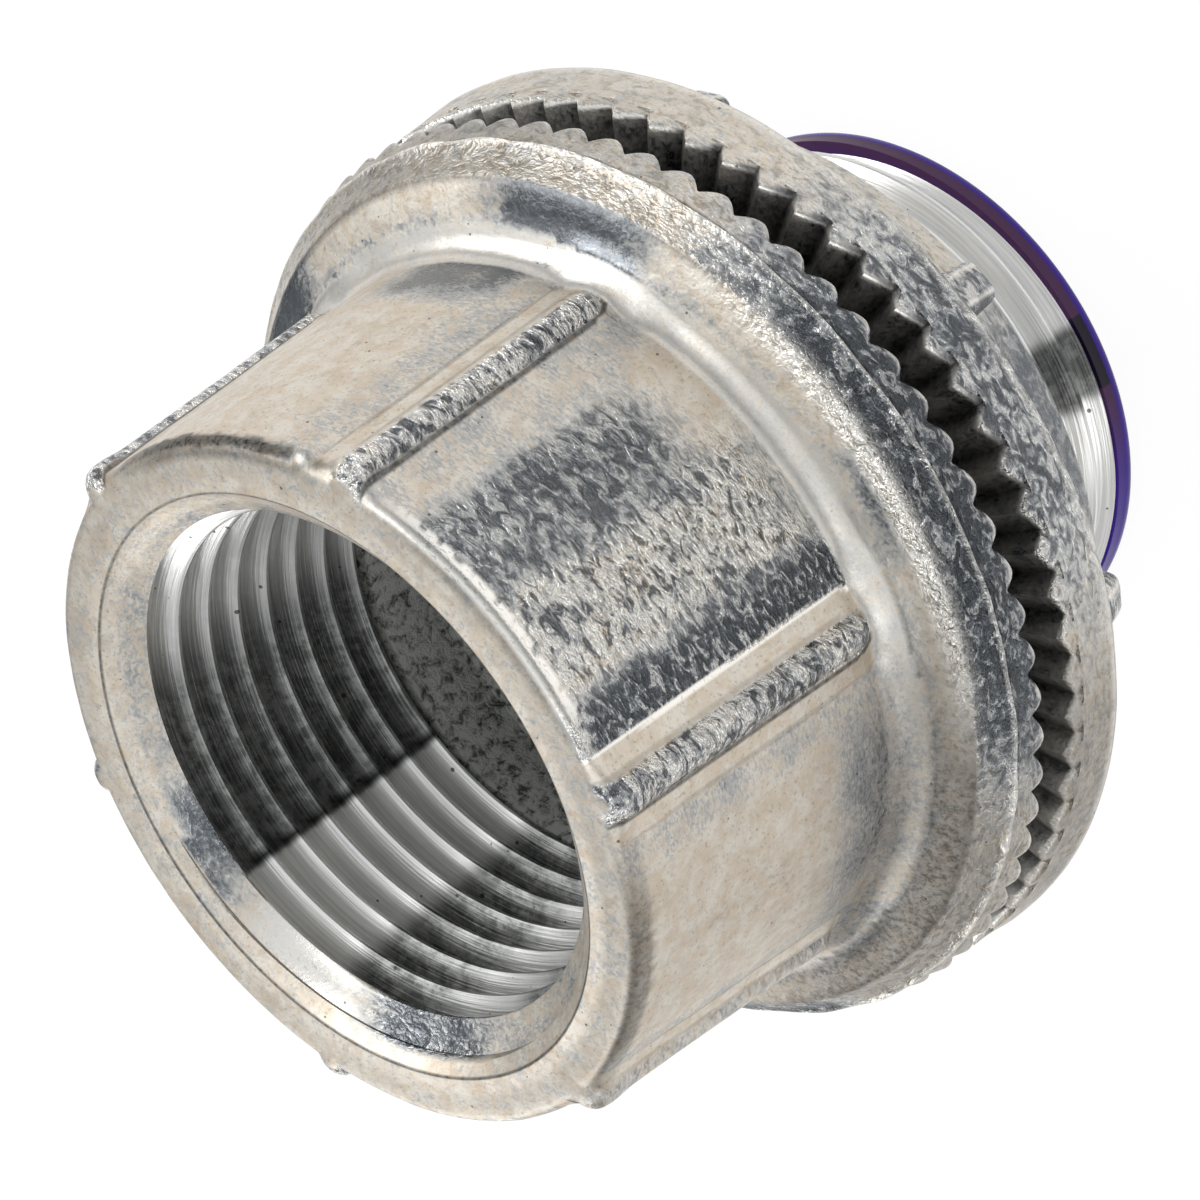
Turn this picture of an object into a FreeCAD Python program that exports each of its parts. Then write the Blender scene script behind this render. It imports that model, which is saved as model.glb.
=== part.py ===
"""Rigid conduit hub, trade size 1 inch: a die-cast zinc hub, its locknut, its sealing ring
and its insulated throat, in millimetres.

The hub stands on the lip of its throat, with the conduit socket upwards. The origin is the
centre of that lip's free face, and +Z is the axis, pointing out of the socket.
"""
import FreeCAD, Part
import math
import os
import re
import Sketcher

# Driving dimensions. Every other size and place is worked out from these.
SIZES = {
    # The stack along the axis, from the lip's free face up to the mouth
    "lip_thickness": 1.5,
    "stub_length": 22.9,
    "socket_length": 24.6,
    # The socket's wall, outside and inside
    "mouth_outer_radius": 20.2,
    "tube_root_radius": 21.6,
    "mouth_round": 0.7,
    "mouth_inner_radius": 17.35,
    "mouth_inner_round": 0.3,
    "lead_in_depth": 2.0,
    "thread_bore_radius": 14.9,
    "thread_length": 15.9,
    "cast_bore_radius": 14.6,
    "cast_bore_length": 4.6,
    "throat_radius": 13.3,
    "stop_round": 0.5,
    # The six beads that a wrench grips
    "rib_count": 6,
    "rib_radius": 1.15,
    "rib_stand_off": 0.95,
    "rib_foot_radius": 2.5,
    "rib_sink": 0.5,
    "rib_end_drop": 0.3,
    # The flange that seats on the box wall
    "flange_radius": 27.5,
    "ridge_set_back": 0.6,
    "ridge_height": 1.85,
    "flange_face_set_back": 1.7,
    "flange_face_height": 3.15,
    "flange_root_height": 4.3,
    "flange_fillet": 1.2,
    "face_edge_round": 0.35,
    # The teeth, alike in number and lean on the flange and on the locknut
    "tooth_count": 70,
    "tooth_lean": 0.62,
    "tooth_land": 0.22,
    "flange_tooth_depth": 0.5,
    "flange_tooth_length": 2.9,
    "flange_tooth_turn": -1.85,
    "nut_tooth_depth": 1.0,
    "nut_tooth_length": 3.6,
    "nut_tooth_turn": -0.6,
    # The recess in the flange's back, and the ring that it holds
    "ring_section_radius": 1.8,
    "ring_flat": 0.15,
    "ring_side_gap": 0.35,
    "ring_proud": 0.55,
    "ring_fit": 0.05,
    # The stub that goes through the knockout
    "stub_radius": 16.6,
    "stub_chamfer": 0.3,
    # The insulating throat piece
    "sleeve_radius": 14.4,
    "sleeve_length": 12.0,
    "lip_set_back": 0.05,
    "lip_outer_round": 0.5,
    "lip_inner_round": 0.8,
    # The locknut
    "panel_gap": 2.2,
    "nut_turn": 29.0,
    "nut_clearance": 0.1,
    "nut_overhang": 0.1,
    "nut_rim_flare": 0.4,
    "nut_rim_height": 4.0,
    "nut_rim_round": 0.35,
    "nut_face_recess": 1.15,
    "nut_chamfer": 0.9,
    "collar_root_radius": 22.9,
    "collar_end_radius": 21.5,
    "collar_height": 7.7,
    "collar_round": 0.5,
    "lug_count": 8,
    "lug_width": 2.6,
    "lug_set_back": 1.4,
    "lug_height": 6.5,
    "lug_flat": 2.6,
    "lug_round": 0.7,
}

document = FreeCAD.newDocument("conduit_hub")
sheet = document.addObject("Spreadsheet::Sheet", "Sizes")
for row, (alias, size) in enumerate(SIZES.items(), start=1):
    sheet.set("A%d" % row, alias.replace("_", " "))
    sheet.set("B%d" % row, str(size))
    sheet.setAlias("B%d" % row, alias)
document.recompute()


def cell(formula):
    """Turns a formula in plain aliases, such as stub_length + 2, into one on the sheet."""
    return re.sub(r"[a-z]\w+", lambda word: "Sizes." + word[0] if word[0] in SIZES else word[0], formula)


def value(formula):
    """The number that a formula in aliases has now."""
    return float(sheet.evalExpression(cell(formula)))


ORIGIN = FreeCAD.Vector(0, 0, 0)

# Heights above the lip's free face
STUB_END = "lip_thickness"
SEAT = "( lip_thickness + stub_length )"
MOUTH = "( lip_thickness + stub_length + socket_length )"
LEAD_IN_END = "( " + MOUTH + " - lead_in_depth )"
THREAD_END = "( " + LEAD_IN_END + " - thread_length )"
CONDUIT_STOP = "( " + THREAD_END + " - cast_bore_length )"
FLANGE_ROOT = "( " + SEAT + " + flange_root_height )"
RECESS_DEPTH = "( 2 * ring_section_radius - ring_flat - ring_proud )"
RECESS_FLOOR = "( " + SEAT + " + " + RECESS_DEPTH + " )"
NUT_TOP = "( " + SEAT + " - panel_gap )"
NUT_RIM_END = "( " + NUT_TOP + " - nut_rim_height )"
NUT_END = "( " + NUT_RIM_END + " - collar_height )"

# Radii that follow from others
RIDGE_RADIUS = "( flange_radius - ridge_set_back )"
FLANGE_FACE_RADIUS = "( flange_radius - flange_face_set_back )"
NUT_RADIUS = "( flange_radius + nut_overhang )"
NUT_RIM_RADIUS = "( " + NUT_RADIUS + " + nut_rim_flare )"
LUG_RADIUS = "( " + NUT_RADIUS + " - lug_set_back )"
RING_RADIUS = "( stub_radius + ring_fit + ring_section_radius )"
RECESS_RADIUS = "( stub_radius + ring_fit + 2 * ring_section_radius + ring_side_gap )"
LIP_RADIUS = "( stub_radius - lip_set_back )"
NUT_BORE = "( stub_radius + nut_clearance )"


def new_body(name):
    """A body whose Label is the sub-part's name."""
    body = document.addObject("PartDesign::Body", name)
    body.Label = name
    return body


def origin_feature(body, role):
    """One of the body's own origin planes or axes."""
    return [item for item in body.Origin.OriginFeatures if item.Role == role][0]


def new_sketch(body, name, plane):
    """An empty sketch on one of the body's origin planes."""
    sketch = body.newObject("Sketcher::SketchObject", name)
    sketch.AttachmentSupport = [(origin_feature(body, plane), "")]
    sketch.MapMode = "FlatFace"
    return sketch


def bind(sketch, kind, geometry, point, formula):
    """Fixes one coordinate of a point in a sketch to a formula."""
    constraint = Sketcher.Constraint(kind, -1, 1, geometry, point, value(formula))
    sketch.setExpression("Constraints[%d]" % sketch.addConstraint(constraint), cell(formula))


def add_outline(body, name, plane, corners, arcs=()):
    """A closed sketch. Each corner is a pair of formulas. arcs maps the number of a corner to
    the centre of the arc that leaves it, and to whether the arc turns anticlockwise."""
    sketch = new_sketch(body, name, plane)
    arcs = dict(arcs)
    points = [FreeCAD.Vector(value(x), value(y), 0) for x, y in corners]
    count = len(points)
    ends = []
    for number, start in enumerate(points):
        finish = points[(number + 1) % count]
        if number in arcs:
            centre_x, centre_y, anticlockwise = arcs[number]
            centre = FreeCAD.Vector(value(centre_x), value(centre_y), 0)
            circle = Part.Circle(centre, FreeCAD.Vector(0, 0, 1), (start - centre).Length)
            first, last = (start, finish) if anticlockwise else (finish, start)
            arc = Part.ArcOfCircle(circle, circle.parameter(first), circle.parameter(last))
            sketch.addGeometry(arc, False)
            ends.append((1, 2) if anticlockwise else (2, 1))
        else:
            sketch.addGeometry(Part.LineSegment(start, finish), False)
            ends.append((1, 2))
    for number in range(count):
        following = (number + 1) % count
        joint = Sketcher.Constraint("Coincident", number, ends[number][1], following, ends[following][0])
        sketch.addConstraint(joint)
        bind(sketch, "DistanceX", number, ends[number][0], corners[number][0])
        bind(sketch, "DistanceY", number, ends[number][0], corners[number][1])
        if number in arcs:
            bind(sketch, "DistanceY", number, 3, arcs[number][1])
    return sketch


def add_turned(body, name, sketch):
    """A full turn of a sketch about its own vertical axis."""
    turned = body.newObject("PartDesign::Revolution", name)
    turned.Profile = sketch
    turned.ReferenceAxis = (sketch, ["V_Axis"])
    turned.Angle = 360
    sketch.Visibility = False
    document.recompute()
    return turned


def add_ring_of(body, name, feature, count):
    """Repeats a feature round the body's Z axis."""
    pattern = body.newObject("PartDesign::PolarPattern", name)
    pattern.Originals = [feature]
    pattern.Axis = (origin_feature(body, "Z_Axis"), [""])
    pattern.Angle = 360
    pattern.setExpression("Occurrences", cell(count))
    body.Tip = pattern
    document.recompute()
    return pattern


def round_edges(body, name, size, circles):
    """Rounds the circular edges, each given as a pair of formulas for radius and height."""
    base = body.Tip
    wanted = [(value(radius), value(height)) for radius, height in circles]
    names = []
    for number, edge in enumerate(base.Shape.Edges, start=1):
        if edge.Curve.TypeId != "Part::GeomCircle":
            continue
        for radius, height in wanted:
            centre = edge.Curve.Center
            if abs(edge.Curve.Radius - radius) < 1e-4 and abs(centre.z - height) < 1e-4:
                names.append("Edge%d" % number)
    if len(names) != len(circles):
        raise RuntimeError("%s: %d edges found for %d circles" % (name, len(names), len(circles)))
    fillet = body.newObject("PartDesign::Fillet", name)
    fillet.Base = (base, names)
    fillet.setExpression("Radius", cell(size))
    body.Tip = fillet
    document.recompute()
    return fillet


def round_lugs(body, name, size):
    """Rounds the outer edges of the lugs, which are straight and lie behind the rim."""
    base = body.Tip
    half, top, step = value("lug_width / 2"), value(NUT_RIM_END), value("360 / lug_count")
    names = []
    for number, edge in enumerate(base.Shape.Edges, start=1):
        if edge.Curve.TypeId != "Part::GeomLine":
            continue
        ends = [vertex.Point for vertex in edge.Vertexes]
        if min(point.z for point in ends) > top - 1e-4:
            continue
        offsets = []
        for point in ends:
            angle = math.degrees(math.atan2(point.y, point.x))
            aside = math.radians(angle - step * round(angle / step))
            offsets.append(math.hypot(point.x, point.y) * math.sin(aside))
        if all(abs(abs(offset) - half) < 1e-4 for offset in offsets):
            names.append("Edge%d" % number)
    if len(names) != 5 * round(value("lug_count")):
        raise RuntimeError("%s: %d edges found" % (name, len(names)))
    fillet = body.newObject("PartDesign::Fillet", name)
    fillet.Base = (base, names)
    fillet.setExpression("Radius", cell(size))
    body.Tip = fillet
    document.recompute()
    return fillet


def cut_teeth(body, name, inner, outer, crest, depth, turn, upwards):
    """Cuts one V notch between two flat outlines, and repeats it round the axis. The notches
    narrow and rise towards the axis, so that every flank is a plane through the axis. Teeth
    that face each other across the box wall lean the same way, as a ratchet's do."""
    sign, away = ("+", "-") if upwards else ("-", "+")
    sections = []
    for place, radius in (("outer", outer), ("inner", inner)):
        half = "( %s * tan( 180deg / tooth_count ) - tooth_land / 2 * %s / %s )" % (radius, radius, outer)
        root = "( 0 %s %s * ( 2 * tooth_lean - 1 ) )" % (sign, half)
        floor = "( %s %s %s * %s / %s )" % (crest, sign, depth, radius, outer)
        free = "( %s %s %s )" % (crest, away, depth)
        corners = [("-1 * " + half, free), ("-1 * " + half, crest), (root, floor), (half, crest), (half, free)]
        sketch = add_outline(body, "%s_%s" % (name, place), "YZ_Plane", corners)
        sketch.AttachmentOffset = FreeCAD.Placement(ORIGIN, FreeCAD.Rotation(FreeCAD.Vector(0, 1, 0), 1))
        sketch.setExpression("AttachmentOffset.Base.x", cell("%s * sin( %s * 1deg )" % (radius, turn)))
        sketch.setExpression("AttachmentOffset.Base.z", cell("%s * cos( %s * 1deg )" % (radius, turn)))
        sketch.setExpression("AttachmentOffset.Rotation.Angle", cell(turn))
        sketch.Visibility = False
        sections.append(sketch)
    before = body.Tip.Shape.Volume
    notch = body.newObject("PartDesign::SubtractiveLoft", name + "_notch")
    notch.Profile = sections[0]
    notch.Sections = [(sections[1], [""])]
    notch.Ruled = True
    body.Tip = notch
    document.recompute()
    if not notch.Shape.Volume < before:
        raise RuntimeError(name + ": the notch cuts nothing")
    return add_ring_of(body, name + "_ring", notch, "tooth_count")


def make_hub_body():
    """The casting: socket, beads, flange and threaded stub in one piece."""
    body = new_body("hub_body")
    section = [
        ("mouth_inner_radius", MOUTH),
        ("mouth_outer_radius", MOUTH),
        ("tube_root_radius", FLANGE_ROOT),
        (FLANGE_FACE_RADIUS, SEAT + " + flange_face_height"),
        (RIDGE_RADIUS, SEAT + " + ridge_height"),
        ("flange_radius", SEAT),
        ("stub_radius", SEAT),
        ("stub_radius", STUB_END + " + stub_chamfer"),
        ("stub_radius - stub_chamfer", STUB_END),
        ("sleeve_radius", STUB_END),
        ("sleeve_radius", STUB_END + " + sleeve_length"),
        ("throat_radius", STUB_END + " + sleeve_length"),
        ("throat_radius", CONDUIT_STOP),
        ("cast_bore_radius", CONDUIT_STOP),
        ("cast_bore_radius", THREAD_END),
        ("thread_bore_radius", THREAD_END),
        ("thread_bore_radius", LEAD_IN_END),
    ]
    add_turned(body, "hub_turned", add_outline(body, "hub_section", "XZ_Plane", section))
    round_edges(body, "root_fillet", "flange_fillet", [("tube_root_radius", FLANGE_ROOT)])
    round_edges(body, "mouth_edge", "mouth_round", [("mouth_outer_radius", MOUTH)])
    round_edges(body, "mouth_inner_edge", "mouth_inner_round", [("mouth_inner_radius", MOUTH)])
    round_edges(body, "stop_edge", "stop_round", [("throat_radius", CONDUIT_STOP)])
    round_edges(body, "face_edge", "face_edge_round", [(FLANGE_FACE_RADIUS, SEAT + " + flange_face_height")])

    # A bead is turned about its own axis, which leans out with the wall's draft
    lean = "( atan( ( tube_root_radius - mouth_outer_radius ) / ( socket_length - flange_root_height ) ) )"
    foot = "( socket_length - flange_root_height + rib_sink )"
    length = "( ( %s - rib_end_drop ) / cos( %s ) )" % (foot, lean)
    flare = "( rib_foot_radius - rib_radius )"
    bead = [
        ("0", "0"),
        ("rib_foot_radius", "0"),
        ("rib_foot_radius", "rib_sink"),
        ("rib_radius", "rib_sink + " + flare),
        ("rib_radius", length + " - rib_radius"),
        ("0", length),
    ]
    arcs = {
        2: ("rib_foot_radius", "rib_sink + " + flare, False),
        4: ("0", length + " - rib_radius", True),
    }
    sketch = add_outline(body, "bead_section", "XZ_Plane", bead, arcs)
    foot_radius = "tube_root_radius + rib_stand_off - rib_radius + rib_sink * tan( %s )" % lean
    sketch.setExpression("AttachmentOffset.Base.x", cell(foot_radius))
    sketch.setExpression("AttachmentOffset.Base.y", cell(FLANGE_ROOT + " - rib_sink"))
    sketch.setExpression("AttachmentOffset.Rotation.Angle", cell(lean))
    bead_turned = add_turned(body, "bead", sketch)
    body.Tip = bead_turned
    add_ring_of(body, "beads", bead_turned, "rib_count")

    # The recess for the sealing ring, then the teeth in the flange's back edge
    recess = [
        ("stub_radius", SEAT + " - 1"),
        (RECESS_RADIUS, SEAT + " - 1"),
        (RECESS_RADIUS, RECESS_FLOOR),
        ("stub_radius", RECESS_FLOOR),
    ]
    before = body.Tip.Shape.Volume
    outline = add_outline(body, "recess_section", "XZ_Plane", recess)
    groove = body.newObject("PartDesign::Groove", "ring_recess")
    groove.Profile = outline
    groove.ReferenceAxis = (outline, ["V_Axis"])
    groove.Angle = 360
    body.Tip = groove
    document.recompute()
    if not groove.Shape.Volume < before:
        raise RuntimeError("the ring recess cuts nothing")
    cut_teeth(body, "flange_teeth", "( flange_radius - flange_tooth_length )", "( flange_radius + 0.3 )",
              SEAT, "flange_tooth_depth", "flange_tooth_turn", True)
    return body


def make_throat_insulator():
    """The plastic throat piece: a sleeve inside the stub, and a lip over the stub's end."""
    body = new_body("throat_insulator")
    section = [
        ("throat_radius", "0"),
        (LIP_RADIUS, "0"),
        (LIP_RADIUS, STUB_END),
        ("sleeve_radius", STUB_END),
        ("sleeve_radius", STUB_END + " + sleeve_length"),
        ("throat_radius", STUB_END + " + sleeve_length"),
    ]
    add_turned(body, "throat_turned", add_outline(body, "throat_section", "XZ_Plane", section))
    round_edges(body, "lip_outer_edge", "lip_outer_round", [(LIP_RADIUS, "0")])
    round_edges(body, "lip_inner_edge", "lip_inner_round", [("throat_radius", "0")])
    return body


def make_sealing_ring():
    """The rubber ring, pressed flat where it seats on the floor of its recess."""
    centre = "( %s - ring_section_radius + ring_flat )" % RECESS_FLOOR
    torus = document.addObject("Part::Torus", "ring_round")
    torus.setExpression("Radius1", cell(RING_RADIUS))
    torus.setExpression("Radius2", cell("ring_section_radius"))
    torus.setExpression("Placement.Base.z", cell(centre))
    flat = document.addObject("Part::Cylinder", "ring_floor")
    flat.setExpression("Radius", cell(RING_RADIUS + " + 2 * ring_section_radius"))
    flat.setExpression("Height", cell("ring_section_radius"))
    flat.setExpression("Placement.Base.z", cell(RECESS_FLOOR))
    ring = document.addObject("Part::Cut", "sealing_ring")
    ring.Label = "sealing_ring"
    ring.Base = torus
    ring.Tool = flat
    document.recompute()
    return ring


def make_locknut():
    """The locknut: a toothed rim, and a collar behind it with lugs for a driver."""
    body = new_body("locknut")
    body.Placement = FreeCAD.Placement(ORIGIN, FreeCAD.Rotation(FreeCAD.Vector(0, 0, 1), 1))
    tooth_start = "( " + NUT_RADIUS + " - nut_tooth_length )"
    section = [
        (NUT_BORE + " + nut_chamfer", NUT_TOP + " - nut_face_recess"),
        (tooth_start, NUT_TOP + " - nut_face_recess"),
        (tooth_start, NUT_TOP),
        (NUT_RADIUS, NUT_TOP),
        (NUT_RADIUS, NUT_TOP + " - nut_tooth_depth"),
        (NUT_RIM_RADIUS, NUT_RIM_END),
        ("collar_root_radius", NUT_RIM_END),
        ("collar_end_radius", NUT_END),
        (NUT_BORE + " + nut_chamfer", NUT_END),
        (NUT_BORE, NUT_END + " + nut_chamfer"),
        (NUT_BORE, NUT_TOP + " - nut_face_recess - nut_chamfer"),
    ]
    add_turned(body, "nut_turned", add_outline(body, "nut_section", "XZ_Plane", section))
    round_edges(body, "nut_rim_edge", "nut_rim_round", [(NUT_RIM_RADIUS, NUT_RIM_END)])
    round_edges(body, "collar_edge", "collar_round", [("collar_end_radius", NUT_END)])
    cut_teeth(body, "nut_teeth", "( " + tooth_start + " - 0.5 )", "( " + NUT_RADIUS + " + 0.3 )", NUT_TOP,
              "nut_tooth_depth", "nut_tooth_turn", False)

    # A lug is a fin from the rim's back down the collar
    sink = "collar_end_radius - 1"
    lug = [
        (sink, NUT_RIM_END + " + nut_rim_round"),
        (LUG_RADIUS, NUT_RIM_END + " + nut_rim_round"),
        (LUG_RADIUS, NUT_RIM_END + " - lug_flat"),
        (sink, NUT_RIM_END + " - lug_height"),
    ]
    pad = body.newObject("PartDesign::Pad", "lug")
    pad.Profile = add_outline(body, "lug_section", "XZ_Plane", lug)
    pad.SideType = "Symmetric"
    pad.setExpression("Length", cell("lug_width"))
    body.Tip = pad
    document.recompute()
    add_ring_of(body, "lugs", pad, "lug_count")
    round_lugs(body, "lug_edges", "lug_round")
    body.setExpression("Placement.Rotation.Angle", cell("nut_turn"))
    return body


def check(parts):
    """Stops where an object failed, or where a sub-part's shape isn't one sound solid."""
    for item in document.Objects:
        if "Invalid" in item.State or "Error" in item.State:
            raise RuntimeError("%s failed: %s" % (item.Name, item.State))
    for part in parts:
        shape = part.Shape
        if shape.isNull() or not shape.isValid() or len(shape.Solids) != 1:
            raise RuntimeError("%s has no sound solid" % part.Label)
        print("%s volume %.1f mm3" % (part.Label, shape.Volume))


sub_parts = [make_hub_body(), make_throat_insulator(), make_sealing_ring(), make_locknut()]
check(sub_parts)
os.makedirs("parts", exist_ok=True)
for sub_part in sub_parts:
    sub_part.Shape.exportStep(os.path.join("parts", sub_part.Label + ".step"))
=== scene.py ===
"""The looks of the rigid conduit hub: a zinc casting with its cut threads, the toothed
locknut, the rubber ring between them and the violet throat. Sizes are in millimetres and
angles in radians until a mesh is made. Clock angles are in degrees."""
import math

import bmesh
import bpy
from mathutils import Matrix, Vector, noise


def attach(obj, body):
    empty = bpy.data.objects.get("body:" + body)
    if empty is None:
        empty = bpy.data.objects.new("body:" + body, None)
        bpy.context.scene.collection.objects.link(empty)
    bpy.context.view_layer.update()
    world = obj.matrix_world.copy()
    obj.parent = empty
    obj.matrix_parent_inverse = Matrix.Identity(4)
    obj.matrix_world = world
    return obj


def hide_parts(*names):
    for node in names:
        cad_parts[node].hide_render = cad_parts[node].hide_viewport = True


MM = 0.001
TURN = 2 * math.pi

# Heights above the lip's free face, on which the hub stands
STUB_END = 1.5
NUT_END, NUT_RIM_END, NUT_FLAT, NUT_TOP = 10.5, 18.2, 20.75, 22.2
SLEEVE_END = 13.5
SEAT = 24.4
CONDUIT_STOP, RECESS_FLOOR, FLANGE_ROOT = 26.5, 27.3, 28.7
CAST_BORE_TOP, THREAD_END, LEAD_IN_END = 31.0, 31.1, 47.0
LEAD_IN_TOP, MOUTH_ROUND_END, MOUTH = 48.5, 48.8, 49.0

# Radii, from the throat outwards
THROAT, SLEEVE, CAST_BORE = 13.3, 14.4, 14.6
SOCKET_CREST, SOCKET_ROOT = 14.9, 16.55
STUB_END_EDGE, STUB_ROOT, STUB_CHAMFER, STUB_CREST = 15.0, 15.35, 16.3, 16.6
NUT_THREAD_CREST, NUT_CHAMFER, NUT_THREAD_ROOT = 16.7, 17.6, 17.7
MOUTH_INNER, MOUTH_EDGE = 17.12, 17.35
NUT_BACK_EDGE, NUT_FLAT_EDGE = 17.85, 18.3
RECESS_INNER, RECESS_OUTER = 18.6, 20.6
MOUTH_SIDE = 20.3
RECESS_EDGE, TOOTH_EDGE = 24.55, 24.6
FLANGE_RADIUS, NUT_RADIUS = 27.5, 27.6

# Where looks change: the radius outside which the flange has teeth, the height above which it shows
# its face, and the height above which the lead-in has the casting's skin
TEETH_FROM, FACE_FROM, SKIN_FROM = 24.65, 27.72, 46.3

# The radii between which each thread's cut ends lie
SOCKET_SPAN, STUB_SPAN, NUT_SPAN = (14.0, 16.8), (15.2, 16.7), (16.6, 17.8)

# The conduit's thread has 11 1/2 turns to the inch, and its radius shrinks by 1/32 of its length
PITCH = 25.4 / 11.5
TAPER = 1 / 32

# Each ring of teeth has one crest at a known angle, the root of each notch at a share of the way
# to the next crest, and its columns of faces at the shares where a tooth bends
TEETH = 70
TOOTH = TURN / TEETH
TOOTH_SECTORS = (7, 5, 2)
FLANGE_CREST, FLANGE_NOTCH = math.radians(-4.42), 0.61
FLANGE_COLUMNS = (0, 0.05, 0.13, 0.23, 0.33, 0.43, 0.52, 0.58, 0.63, 0.7, 0.83, 0.95)
NUT_CREST, NUT_NOTCH = math.radians(25.83), 0.38
NUT_COLUMNS = (0, 0.04, 0.12, 0.22, 0.33, 0.38, 0.46, 0.64, 0.82, 0.96)

# Round the tube the columns of faces are even, and one of them is turned to each rib's middle
COLUMN = TOOTH / len(FLANGE_COLUMNS)
TO_RIB = math.radians(0.134)

# A rib is a round bead on a hollow flank, which reaches some columns to each side and falls away
RIBS = 6
RIB_FOOT, RIB_HEAD = 31.0, 47.9
BEAD_WIDTH, BEAD_RISE = 1.04, 0.98
FLANK_COLUMNS, FLANK_FALL = 15, 1.3

# The small lump on the mouth's edge
NIB_SEEN, NIB_HEIGHT, NIB_SIZE, NIB_RISE = 111.7, 48.3, 0.75, 0.5

# A lug is a block between two radii and two heights, and stands out less at its foot
LUGS = 8
LUG_START = math.radians(29.0)
LUG_INNER, LUG_OUTER, LUG_LOW, LUG_HIGH = 21.0, 26.2, 12.9, 18.3
LUG_WIDTH, LUG_ROUND, LUG_FOOT_DROP = 2.6, 0.7, 1.5

# Points nearer than this become one, in metres
WELD_TURNED, WELD_THREAD, WELD_PIECE, WELD_EDGE, WELD_CUT = 2e-6, 4e-6, 1e-6, 5e-7, 1e-7

# How far a rim may lie from the radius and the height at which it is looked for
RIM_REACH = 0.02

# Sides of the casting that get painted highlight (the lit ones) or painted shade, each a clock angle and a
# half width
LIT_FLANGE, SHADED_FLANGE = (166, 32), (231, 52)
LIT_MOUTH, SHADED_MOUTH = (150, 27), (92, 27)
SHADED_NUT = (216, 30)


def clamp(x, low=0.0, high=1.0):
    return max(low, min(high, x))


def smooth(x, low, high):
    """Rises from 0 at low to 1 at high, with soft ends."""
    t = clamp((x - low) / (high - low))
    return t * t * (3 - 2 * t)


def uneven(angle, height, size=1.0, seed=0.0):
    """A soft random number from about -1 to 1 that goes round the axis without a seam."""
    ring = 27.0 / size
    return noise.noise(Vector((ring * math.cos(angle), ring * math.sin(angle), height / size + seed)))


def polar(vert):
    """Radius, angle and height of a vertex."""
    x, y, z = vert.co / MM
    return math.hypot(x, y), math.atan2(y, x), z


def place(vert, radius, angle, height):
    vert.co = Vector((radius * math.cos(angle), radius * math.sin(angle), height)) * MM


def chain(bm, points, angle=0.0):
    """A line of edges through points of radius and height, in a half plane through the axis."""
    verts = [bm.verts.new((r * MM * math.cos(angle), r * MM * math.sin(angle), z * MM)) for r, z in points]
    edges = [bm.edges.new(pair) for pair in zip(verts, verts[1:])]
    return verts + edges


def everything(bm):
    return bm.verts[:] + bm.edges[:] + bm.faces[:]


def repeat(bm, count, angle=0.0, drop=0.0):
    """Sets copies of all that a mesh holds beside it, each turned and lowered by one step more."""
    first = everything(bm)
    for number in range(1, count):
        copy = bmesh.ops.duplicate(bm, geom=first)["geom"]
        verts = [item for item in copy if isinstance(item, bmesh.types.BMVert)]
        bmesh.ops.rotate(bm, cent=(0, 0, 0), matrix=Matrix.Rotation(angle * number, 3, "Z"), verts=verts)
        bmesh.ops.translate(bm, vec=(0, 0, -drop * number * MM), verts=verts)


def turned(points, sectors, steps, angle=0.0):
    """A mesh of a profile turned round the axis: one sector of a few steps, then its copies.
    The numbers in sectors are multiplied, so that 70 is made as 7 times 5 times 2."""
    bm = bmesh.new()
    share = TURN / math.prod(sectors)
    bmesh.ops.spin(bm, geom=chain(bm, points, angle), cent=(0, 0, 0), axis=(0, 0, 1), dvec=(0, 0, 0),
                   angle=share, steps=steps, use_merge=False, use_duplicate=False)
    for count in sectors:
        repeat(bm, count, share)
        share *= count
    bmesh.ops.remove_doubles(bm, verts=bm.verts, dist=WELD_TURNED)
    return bm


def swept_thread(crest, root, top, bottom, steps, taper=0.0):
    """A mesh of one groove swept down a helix, longer at both ends than the thread. The taper is
    the change of radius for each millimetre below the top."""
    bm = bmesh.new()
    groove = [(0, 0), (0.07, 0), (0.13, 0.08), (0.3, 0.5), (0.48, 0.94), (0.53, 1), (0.57, 1),
              (0.62, 0.94), (0.8, 0.5), (0.94, 0.08), (1, 0)]
    spare_turns = 2.2
    start = top + spare_turns * PITCH
    points = [(crest + (root - crest) * deep, start - share * PITCH) for share, deep in groove]
    bmesh.ops.spin(bm, geom=chain(bm, points), cent=(0, 0, 0), axis=(0, 0, 1),
                   dvec=(0, 0, -PITCH * MM / steps), angle=TURN, steps=steps, use_merge=False,
                   use_duplicate=False)
    repeat(bm, math.ceil((top - bottom) / PITCH + spare_turns + 1), 0.0, PITCH)
    bmesh.ops.remove_doubles(bm, verts=bm.verts, dist=WELD_THREAD)
    for vert in bm.verts:
        radius, angle, height = polar(vert)
        place(vert, radius - taper * (top - height), angle, height)
    return bm


def trim(bm, height, above):
    """Cuts the part of a mesh above or below a height away, flat."""
    bmesh.ops.bisect_plane(bm, geom=everything(bm), dist=WELD_CUT, plane_co=(0, 0, height * MM),
                           plane_no=(0, 0, 1 if above else -1), clear_outer=True)


def join(bm, part, material=0):
    """Adds a mesh to another, with all its faces in one of the piece's finishes."""
    for face in part.faces:
        face.material_index = material
    carrier = bpy.data.meshes.new("carrier")
    part.to_mesh(carrier)
    part.free()
    bm.from_mesh(carrier)
    bpy.data.meshes.remove(carrier)


def open_rim(bm, height, low, high=None):
    """The open edges at a height whose radius is the one given, or lies between two."""
    low, high = (low - RIM_REACH, low + RIM_REACH) if high is None else (low, high)
    rim = []
    for edge in bm.edges:
        if edge.is_boundary:
            ends = [polar(vert) for vert in edge.verts]
            if all(low <= r <= high and abs(z - height) < RIM_REACH for r, _, z in ends):
                rim.append(edge)
    return rim


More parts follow.
